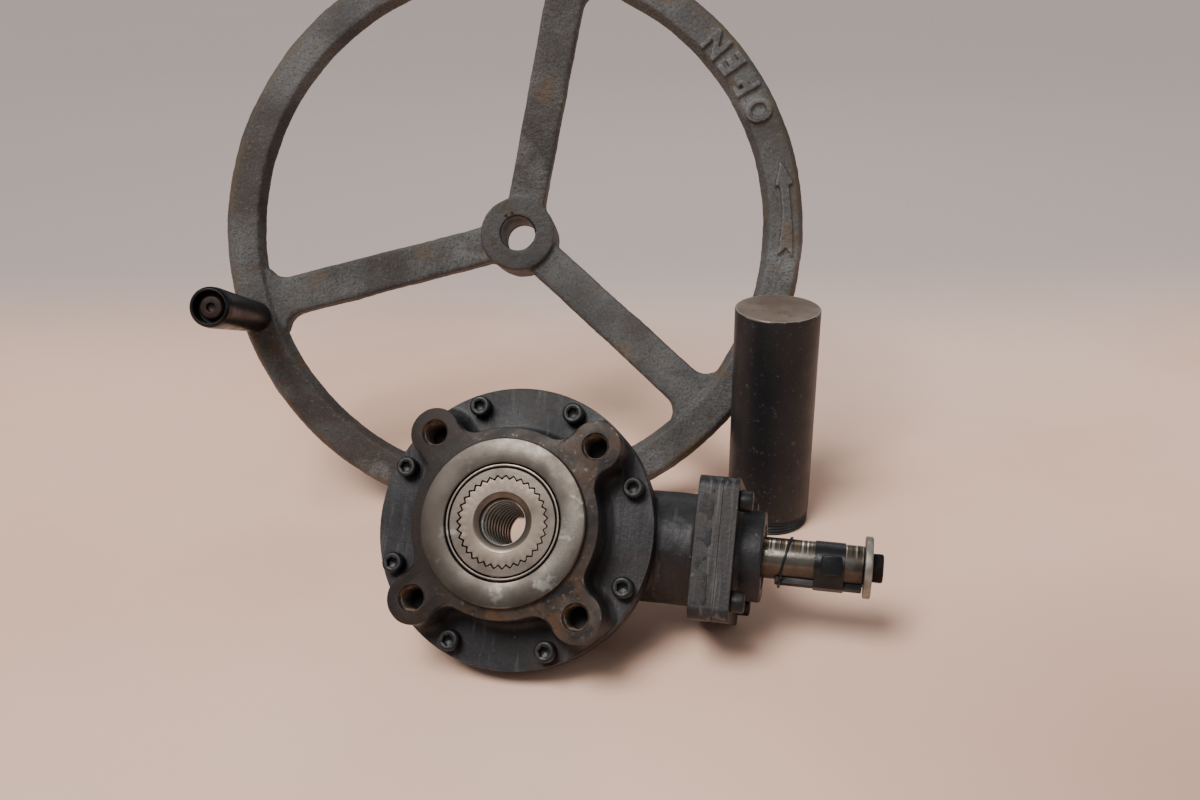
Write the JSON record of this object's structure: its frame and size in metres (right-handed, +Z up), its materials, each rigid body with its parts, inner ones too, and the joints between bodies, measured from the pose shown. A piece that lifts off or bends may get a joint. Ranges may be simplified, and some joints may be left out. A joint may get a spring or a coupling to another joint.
{
  "type": "gate valve bevel gear operator",
  "caption": "Right-angle bevel gear operator for a gate valve with a splined stem nut, laid out with its spoked spinner handwheel and pipe stem cover.",
  "frame": {"origin": "centre of the set's footprint on the floor", "axes": "+Z up, +X to the right along the long side of the set, +Y away from the side that the mounting face and input shaft are seen from"},
  "size_m": [0.4594, 0.4144, 0.4081],
  "materials": {
    "casing_paint": "brushed dark grey-blue paint, rust-brown stained on the mounting face",
    "gasket": "thin paper gasket",
    "dark_screws": "black oxide and overpainted",
    "rubber": "matt black",
    "machined_steel": "turned, with dried oil stains",
    "bearing_steel": "ground",
    "gear_steel": "oiled",
    "nut_metal": "turned and broached, stained",
    "zinc_washer": "zinc plated",
    "wheel_iron": "grey paint over rough casting, brown stains",
    "handle_plastic": "glossy black",
    "cover_paint": "dark pipe paint, scuffed",
    "cover_cap_steel": "worn tan-brown film, bright edge"
  },
  "bodies": {
    "gearbox": {"housing": "casing_paint", "cover_gasket": "gasket", "front_cover": "casing_paint", "cover_screw_1": "dark_screws", "cover_screw_2": "dark_screws", "cover_screw_3": "dark_screws", "cover_screw_4": "dark_screws", "cover_screw_5": "dark_screws", "cover_screw_6": "dark_screws", "cover_screw_7": "dark_screws", "cover_screw_8": "dark_screws", "carrier_gasket": "gasket", "bearing_carrier": "casing_paint", "carrier_screw_1": "dark_screws", "carrier_screw_2": "dark_screws", "carrier_screw_3": "dark_screws", "carrier_screw_4": "dark_screws", "input_oil_seal": "rubber", "front_bush": "machined_steel", "carrier_snap_ring": "dark_screws", "outer_spacer": "machined_steel", "inboard_bearing_outer_ring": "bearing_steel", "outboard_bearing_outer_ring": "bearing_steel", "front_bearing_outer_ring": "bearing_steel", "rear_bearing_outer_ring": "bearing_steel"},
    "input": {"input_shaft": "machined_steel", "bevel_pinion": "gear_steel", "pinion_key": "machined_steel", "pinion_snap_ring": "dark_screws", "inner_spacer": "machined_steel", "handwheel_key": "machined_steel", "key_band": "rubber", "retaining_band": "rubber", "end_washer": "zinc_washer", "end_bolt": "dark_screws", "inboard_bearing_inner_ring": "bearing_steel", "outboard_bearing_inner_ring": "bearing_steel"},
    "input_cages": {"inboard_bearing_cage": "bearing_steel", "outboard_bearing_cage": "bearing_steel"},
    "drive": {"drive_sleeve": "machined_steel", "bevel_gear": "gear_steel", "gear_key": "machined_steel", "front_bearing_inner_ring": "bearing_steel", "rear_bearing_inner_ring": "bearing_steel"},
    "drive_cages": {"front_bearing_cage": "bearing_steel", "rear_bearing_cage": "bearing_steel"},
    "nut": {"stem_nut": "nut_metal"},
    "wheel": {"handwheel": "wheel_iron", "handle_spindle": "dark_screws", "handle_nut": "dark_screws"},
    "grip": {"handle_grip": "handle_plastic"},
    "cover": {"stem_cover_tube": "cover_paint", "stem_cover_cap": "cover_cap_steel"}
  },
  "joints": [
    {"name": "drive_spin", "type": "hinge", "parent": "gearbox", "child": "drive", "pos_m": [-0.00012, -0.15926, 0.09796], "axis": [-0.1784, -0.7983, 0.5752], "continuous": true},
    {"name": "input_spin", "type": "hinge", "parent": "gearbox", "child": "input", "pos_m": [0.01219, -0.10418, 0.05827], "axis": [0.9759, -0.2181, 0], "continuous": true},
    {"name": "input_cage_spin", "type": "hinge", "parent": "gearbox", "child": "input_cages", "pos_m": [0.01219, -0.10418, 0.05827], "axis": [0.9759, -0.2181, 0], "continuous": true},
    {"name": "drive_cage_spin", "type": "hinge", "parent": "gearbox", "child": "drive_cages", "pos_m": [-0.00012, -0.15926, 0.09796], "axis": [-0.1784, -0.7983, 0.5752], "continuous": true},
    {"name": "nut_slide", "type": "slide", "parent": "drive", "child": "nut", "axis": [-0.1784, -0.7983, 0.5752], "range_m": [0, 0.08]},
    {"name": "wheel_slide", "type": "slide", "parent": "gearbox", "child": "wheel", "axis": [0, 1, 0], "range_m": [0, 0.2]},
    {"name": "grip_spin", "type": "hinge", "parent": "wheel", "child": "grip", "pos_m": [-0.20373, 0.09166, 0.13845], "axis": [-0.0463, -0.9145, 0.4019], "continuous": true},
    {"name": "cover_lift", "type": "slide", "parent": "gearbox", "child": "cover", "axis": [0, 0, 1], "range_m": [0, 0.2]}
  ],
  "couplings": [
    {"joint": "input_spin", "follows": "drive_spin", "ratio": -3},
    {"joint": "input_cage_spin", "follows": "drive_spin", "ratio": -1.1975},
    {"joint": "drive_cage_spin", "follows": "drive_spin", "ratio": 0.4609}
  ]
}
